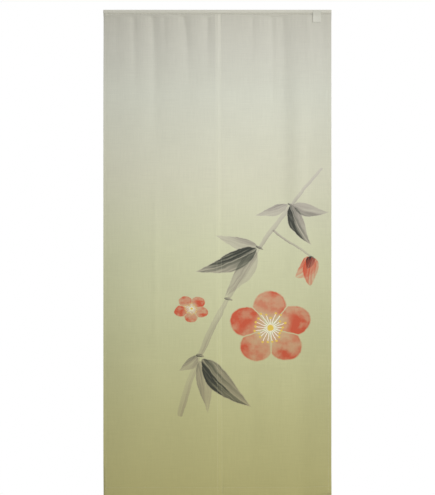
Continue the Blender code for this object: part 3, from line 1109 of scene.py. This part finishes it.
STEM = 0.14  # the bluntness of a length of stem
JOINT = 0.5
INK_DABS = (
    # the stem, from its foot to its tip, and the bud's twig
    Dab(-140, -1494, 72, 232, 25, 0.3, STEM, 0.25),
    Dab(-64, -1268, 64, 230, 23, 0.3, STEM, 0.31),
    Dab(40, -1056, 58, 216, 20, 0.3, STEM, 0.24),
    Dab(156, -870, 53, 192, 17, 0.3, STEM, 0.28),
    Dab(272, -714, 50, 180, 12, 0.3, STEM, 0.24),
    Dab(204, -806, -34, 176, 9, -0.4, STEM, 0.40),
    # the stem's joints
    Dab(-80, -1268, -12, 34, 11, 0.4, JOINT, 0.85),
    Dab(25, -1056, -20, 32, 10, 0.4, JOINT, 0.80),
    Dab(142, -866, -26, 30, 9, 0.4, JOINT, 0.85),
    Dab(260, -708, -32, 26, 8, 0.4, JOINT, 0.80),
    # leaves from the top joint
    Dab(276, -712, -12, 142, 50, -0.4, 1.0, 0.50),
    Dab(268, -716, -62, 170, 60, -0.3, 1.0, 0.97),
    Dab(262, -712, -162, 132, 40, 0.3, 1.0, 0.42),
    # leaves from the middle joint
    Dab(148, -874, 200, 250, 76, 0.4, 1.0, 0.97),
    Dab(146, -884, 234, 214, 70, 0.2, 1.0, 0.44),
    Dab(150, -868, 164, 168, 48, 0.3, 1.0, 0.36),
    # leaves from the low joint
    Dab(-70, -1272, 216, 94, 42, 0.3, 1.0, 0.50),
    Dab(-56, -1280, -44, 262, 86, -0.4, 1.0, 0.97),
    Dab(-64, -1286, -82, 204, 64, 0.2, 1.0, 0.45),
    # the bud's calyx
    Dab(350, -902, -112, 52, 36, 0.1, 0.7, 0.90),
)
BUD_DABS = (
    Dab(352, -908, -130, 96, 66, 0.3, 0.6, 0.75),
    Dab(358, -910, -98, 104, 60, -0.3, 0.6, 0.95),
)
BLOSSOMS = (
    Blossom(x=196, z=-1168, radius=156, squash=0.9, turn=20),
    Blossom(x=-96, z=-1098, radius=66, squash=0.8, turn=52),
)
print(len(INK_DABS) + len(BUD_DABS), "dabs and", len(BLOSSOMS), "blossoms")

# %% [markdown]
# ## The print
#
# The whole print is one node group. It first moves every place a little by noise, so that no outline is
# perfectly even, as ink creeps along threads. Then it asks each dab how clear it leaves the cloth and
# multiplies the answers, and it keeps the strongest answer of the blossoms.

# %% Print group
CREEP = ((45.0, 5.0), (7.0, 1.4))  # mm: the size of each unevenness, and how far it moves the outline


def make_print():
    """The group of the whole print: a place in mm goes in, and how much ink, red, line and gold come out."""
    tree, given, result = new_group("ink_wash_print", [("Place", "Vector")], ["Ink", "Red", "Line", "Gold"])
    place = given["Place"]
    for size, distance in CREEP:
        noise = add(tree, "TexNoise", {"Vector": given["Place"], "Scale": 1 / size, "Detail": 2.0})
        noise = add(tree, "VectorMath", [noise.node.outputs["Color"], (0.5, 0.5, 0.5)], operation="SUBTRACT")
        noise = add(tree, "VectorMath", [noise, (2 * distance, 2 * distance, 0)], operation="MULTIPLY")
        place = add(tree, "VectorMath", [place, noise], operation="ADD")
    found = {"Line": 0.0, "Gold": 0.0}
    for dye, dabs in (("Ink", INK_DABS), ("Red", BUD_DABS)):
        clear = 1.0
        for dab in dabs:
            turn = math.radians(dab.turn)
            centre = (dab.x + math.cos(turn) * dab.length / 2, dab.z + math.sin(turn) * dab.length / 2, 0)
            one = add(tree, "Group", {
                "Place": place, "Centre": centre, "Half size": (dab.length / 2, dab.width / 2, 1),
                "Turn": -turn, "Bend": dab.bend, "Bluntness": dab.bluntness, "Tone": dab.tone,
            }, node_tree=dab_group)
            clear = add(tree, "Math", [one, clear], operation="MULTIPLY")
        found[dye] = add(tree, "Math", [1.0, clear], operation="SUBTRACT")
    for blossom in BLOSSOMS:
        inputs = {"Place": place, "Centre": (blossom.x, blossom.z, 0), "Turn": math.radians(-blossom.turn),
                  "Radius": (blossom.radius, blossom.radius * blossom.squash, 1)}
        petals = add(tree, "Group", inputs, node_tree=petal_group).node
        stamens = add(tree, "Group", inputs, node_tree=stamen_group).node
        for node, name in ((petals, "Red"), (stamens, "Line"), (stamens, "Gold")):
            found[name] = add(tree, "Math", [node.outputs[name], found[name]], operation="MAXIMUM")
    for name, value in found.items():
        tree.links.new(value, result[name])
    return tree


print_group = make_print()
print("print group:", len(print_group.nodes), "nodes")

# %% [markdown]
# ## The hems and the print on the cloth
#
# A hem is several layers of cloth, so less light is lost through it and it looks a little lighter, most
# of all at the top, where the two slit hems are sewn on each other. Dye that is pressed onto the front
# only half shows on the back. A thin grey wash isn't the dark ink made even paler: it is a little warmer,
# so the ink's colour is read from a ramp, and the cloth's colour is multiplied by it.

# %% Hems and print
SLIT_HEM_LIGHTENING = 0.035
JOINED_HEM_GAIN = 3.4  # how much more that is at the top
OUTER_HEM_LIGHTENING = 0.01
BACK_STRENGTH = 0.45  # of the print, on the back
RED_DYE, LINE_WHITE, GOLD = "#FF6A52", "#EAE4D6", "#D2B446"
INK_TONES = ((0.0, "#FFFFFF"), (0.15, "#F0EBF5"), (0.4, "#D1C9D7"), (0.75, "#8E8D93"), (1.0, "#343836"))


def lighten_hems(tree, metres, colour):
    """The cloth's colour, a little lighter on each hem. The last millimetre of a hem fades into the cloth."""
    drift = SEAM_DRIFT / panel_length
    seam = add(tree, "Math", [metres["Z"], drift, metres["X"]], operation="MULTIPLY_ADD")
    seam = add(tree, "Math", [seam, SEAM_X + panel_top * drift], operation="SUBTRACT")
    from_seam = add(tree, "Math", [seam], operation="ABSOLUTE")
    from_middle = add(tree, "Math", [metres["X"]], operation="ABSOLUTE")
    side_hem, foot_hem = cloth_high[0] - SIDE_HEM, cloth_low[2] + BOTTOM_HEM
    slit_hem = times_steps(tree, SLIT_HEM_LIGHTENING, (
        (from_seam, SLIT_HEM - MM, SLIT_HEM, 1.0, 0.0),
        (metres["Z"], panel_top - JOINED_LENGTH, panel_top, 1.0, JOINED_HEM_GAIN),
    ))
    slit_hem = add(tree, "Math", [slit_hem, 1.0], operation="ADD")
    lighter = times_steps(tree, slit_hem, (
        (from_middle, side_hem, side_hem + MM, 1.0, 1 + OUTER_HEM_LIGHTENING),
        (metres["Z"], foot_hem - MM, foot_hem, 1 + OUTER_HEM_LIGHTENING, 1.0),
    ))
    return add(tree, "VectorMath", {"Vector": colour, "Scale": lighter}, operation="SCALE")


def add_print(tree, normal, place, colour):
    """The cloth's colour with the print over it, at full strength on the front only."""
    faces = add(tree, "SeparateXYZ", [normal]).node.outputs["Y"]
    printed = add(tree, "Group", {"Place": place}, node_tree=print_group).node.outputs
    ink, red, line, gold = (times_steps(tree, printed[name], ((faces, -0.1, 0.1, 1.0, BACK_STRENGTH),))
                            for name in ("Ink", "Red", "Line", "Gold"))
    tone = add(tree, "ValToRGB", [ink])
    stops = tone.node.color_ramp.elements
    stops[0].color, stops[1].color = linear(INK_TONES[0][1]), linear(INK_TONES[-1][1])
    for amount, hex_colour in INK_TONES[1:-1]:
        stops.new(amount).color = linear(hex_colour)
    for amount, way, dye in ((1.0, "MULTIPLY", tone), (red, "MULTIPLY", linear(RED_DYE)),
                             (line, "MIX", linear(LINE_WHITE)), (gold, "MIX", linear(GOLD))):
        colour = add(tree, "Mix", {"Factor": amount, "A": colour, "B": dye}, data_type="RGBA", blend_type=way)
    return colour


print("ink tones:", [hex_colour for _, hex_colour in INK_TONES])

# %% [markdown]
# ## Dyed polyester
#
# The cloth is thin polyester, dyed by heat transfer. The dye shades from a pale grey under the casing to
# an olive at the foot, and right under the casing it is also painted darker, as painted shade. Polyester
# is smooth as fibre but matt as cloth, with a faint sheen at a glancing angle. Its index of refraction is
# about 1.57. The casing isn't printed. Two layers lie over each other in it, so it is a little lighter,
# and it is painted lighter again, as painted light from above.

# %% Cloth material
CLOTH_IOR = 1.57
CLOTH_ROUGHNESS = 0.8
CLOTH_SHEEN = 0.12
# How much lighter the casing is painted: partly for its two layers, partly as painted light from above.
CASING_LAYERS_AND_PAINTED_LIGHT = 1.12
CLOUD_SIZE = 160  # mm: the size of the faint uneven patches in the dye


class Shade(NamedTuple):
    """The dyed colour at a depth in mm below the stitch line, with painted shade at the top."""

    depth: float
    colour: str


# The first two stops are darker than the dye: painted shade right under the casing.
DYE_AND_PAINTED_SHADE = (
    Shade(0, "#C3C1B4"), Shade(130, "#C8C7BA"), Shade(296, "#CBCCBD"), Shade(592, "#C7C6B0"),
    Shade(889, "#BFC09E"), Shade(1185, "#B7B78D"), Shade(1482, "#B0AD7B"), Shade(1800, "#A9A36B"),
)


def make_polyester(name, printed):
    """Dyed polyester, printed or plain, with painted shade at the top and painted light on the plain one."""
    material, tree, shader = new_material(
        name, {"IOR": CLOTH_IOR, "Roughness": CLOTH_ROUGHNESS, "Sheen Weight": CLOTH_SHEEN})
    coordinates = add(tree, "TexCoord").node.outputs
    metres = add(tree, "SeparateXYZ", [coordinates["Object"]]).node.outputs
    flat = add(tree, "CombineXYZ", [metres["X"], metres["Z"]])
    place = add(tree, "VectorMath", {"Vector": flat, "Scale": 1 / MM}, operation="SCALE")

    dyed_length = DYE_AND_PAINTED_SHADE[-1].depth
    down = add(tree, "MapRange", {"Value": metres["Z"], "From Min": panel_top,
                                  "From Max": panel_top - dyed_length * MM})
    # The dye's ramp, with painted shade at its top.
    ramp = add(tree, "ValToRGB", [down])
    stops = ramp.node.color_ramp.elements
    stops[0].color, stops[1].color = linear(DYE_AND_PAINTED_SHADE[0].colour), linear(DYE_AND_PAINTED_SHADE[-1].colour)
    for shade in DYE_AND_PAINTED_SHADE[1:-1]:
        stops.new(shade.depth / dyed_length).color = linear(shade.colour)
    woven = add(tree, "Group", {"Place": place}, node_tree=weave).node.outputs
    clouds = add(tree, "TexNoise", {"Vector": place, "Scale": 1 / CLOUD_SIZE, "Detail": 2.0})
    # On the casing this factor is partly painted light.
    light = times_steps(tree, 1.0 if printed else CASING_LAYERS_AND_PAINTED_LIGHT, (
        (woven["Streaks"], -0.5, 0.5, 0.96, 1.04),
        (clouds, 0.2, 0.8, 0.985, 1.015),
    ))
    colour = add(tree, "VectorMath", {"Vector": ramp, "Scale": light}, operation="SCALE")
    if printed:
        colour = add_print(tree, coordinates["Normal"], place, lighten_hems(tree, metres, colour))
    tree.links.new(colour, shader["Base Color"])
    tree.links.new(add(tree, "Bump", {"Height": woven["Height"], **WEAVE_BUMP}), shader["Normal"])
    return material


panel_cloth = make_polyester("printed_polyester", printed=True)
casing_cloth = make_polyester("plain_polyester", printed=False)
for piece, material in ((left_panel, panel_cloth), (right_panel, panel_cloth), (casing, casing_cloth)):
    piece.data.materials.append(material)
print("cloth materials:", panel_cloth.name, "and", casing_cloth.name)

# %% [markdown]
# ## Satin tape and thread
#
# The label is woven satin: its threads float over several others, so it is smoother and glossier than
# the curtain, with fine ribs along its length. The sewing thread is polyester too. Its filaments are
# twisted, and the twist shows as slanting ribs about 0.4 mm apart.

# %% Label and thread materials
RIB_PITCH = 0.5  # mm
TWIST_PITCH = 0.4  # mm
RIB_BUMP = {"Strength": 0.3, "Distance": 0.05 * MM}
ACROSS, SLANTING = (1, 0, 0), (1, 0, 1)


def make_ribbed(name, hex_colour, roughness, way, pitch):
    """A ribbed textile. The way is the direction that crosses its ribs."""
    material, tree, shader = new_material(
        name, {"Base Color": linear(hex_colour), "Roughness": roughness, "IOR": CLOTH_IOR})
    metres = add(tree, "TexCoord").node.outputs["Object"]
    turns = Vector(way).normalized() * (2 * math.pi / (pitch * MM))
    phase = add(tree, "VectorMath", [metres, turns], operation="DOT_PRODUCT").node.outputs["Value"]
    ribs = add(tree, "Math", [phase], operation="SINE")
    tree.links.new(add(tree, "Bump", {"Height": ribs, **RIB_BUMP}), shader["Normal"])
    return material


label.data.materials.append(make_ribbed("pale_satin_tape", "#CBCABD", 0.42, ACROSS, RIB_PITCH))
thread = make_ribbed("polyester_thread", "#C4C3AE", 0.55, SLANTING, TWIST_PITCH)
pale_thread = make_ribbed("pale_polyester_thread", "#C6C5B8", 0.55, SLANTING, TWIST_PITCH)
for piece in (left_stitches, right_stitches, casing_stitches):
    piece.data.materials.append(thread)
label_stitches.data.materials.append(pale_thread)
print("materials in all:", len(bpy.data.materials))

# %% [markdown]
# ## What each piece is
#
# Each fine piece is hung from one empty, and the frame's solid that it stands for, if any, is hidden.
# The table also names the slot of the record that paints each piece, but nothing here reads it. A finished
# panel is 430 mm wide, as it hangs almost flat, and 1.79 m long. The casing is one strip that goes up the
# front, over the rod and down the back.

pieces = (
    (left_panel, "panel_left", "dyed_cloth"), (right_panel, "panel_right", "dyed_cloth"),
    (casing, "rod_casing", "casing_cloth"), (label, "care_label", "label_cloth"),
    (left_stitches, None, "dyed_cloth"), (right_stitches, None, "dyed_cloth"),
    (casing_stitches, None, "casing_cloth"), (label_stitches, None, "label_cloth"),
)
for piece, node, slot in pieces:
    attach(piece, "root")
    if node:
        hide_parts(node)
print(len(pieces), "pieces declared")

# %% [markdown]
# ## Sizes
#
# The box round the frame's solids, found when they were loaded, is printed.

# %% Sizes and the end
print("solids:", cad_box)
